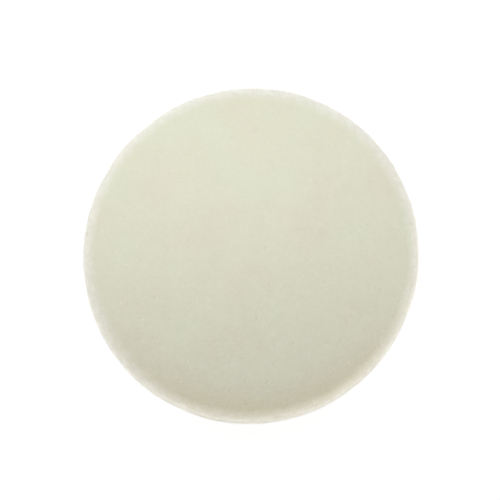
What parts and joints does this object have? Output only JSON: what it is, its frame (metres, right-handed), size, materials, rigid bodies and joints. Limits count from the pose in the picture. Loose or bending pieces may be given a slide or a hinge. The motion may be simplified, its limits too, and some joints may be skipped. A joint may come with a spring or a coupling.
{
  "type": "felt polishing wheel",
  "caption": "Thick round disc of pressed wool felt with a soft shoulder and no arbor hole, backed with loop fabric for a polishing machine's hook pad.",
  "frame": {"origin": "centre of the loop face at the wheel's back, where it meets the machine's pad", "axes": "+Z along the spin axis, out of the working face; X and Y across the wheel, which is round"},
  "size_m": [0.1, 0.1, 0.012],
  "materials": {
    "wool_felt": "pressed wool felt, matt",
    "contact_adhesive": "dried contact adhesive, satin",
    "loop_fabric": "brushed knitted loop, matt"
  },
  "bodies": {
    "root": {"felt_body": "wool_felt", "adhesive_film": "contact_adhesive", "loop_backing": "loop_fabric"}
  },
  "joints": []
}
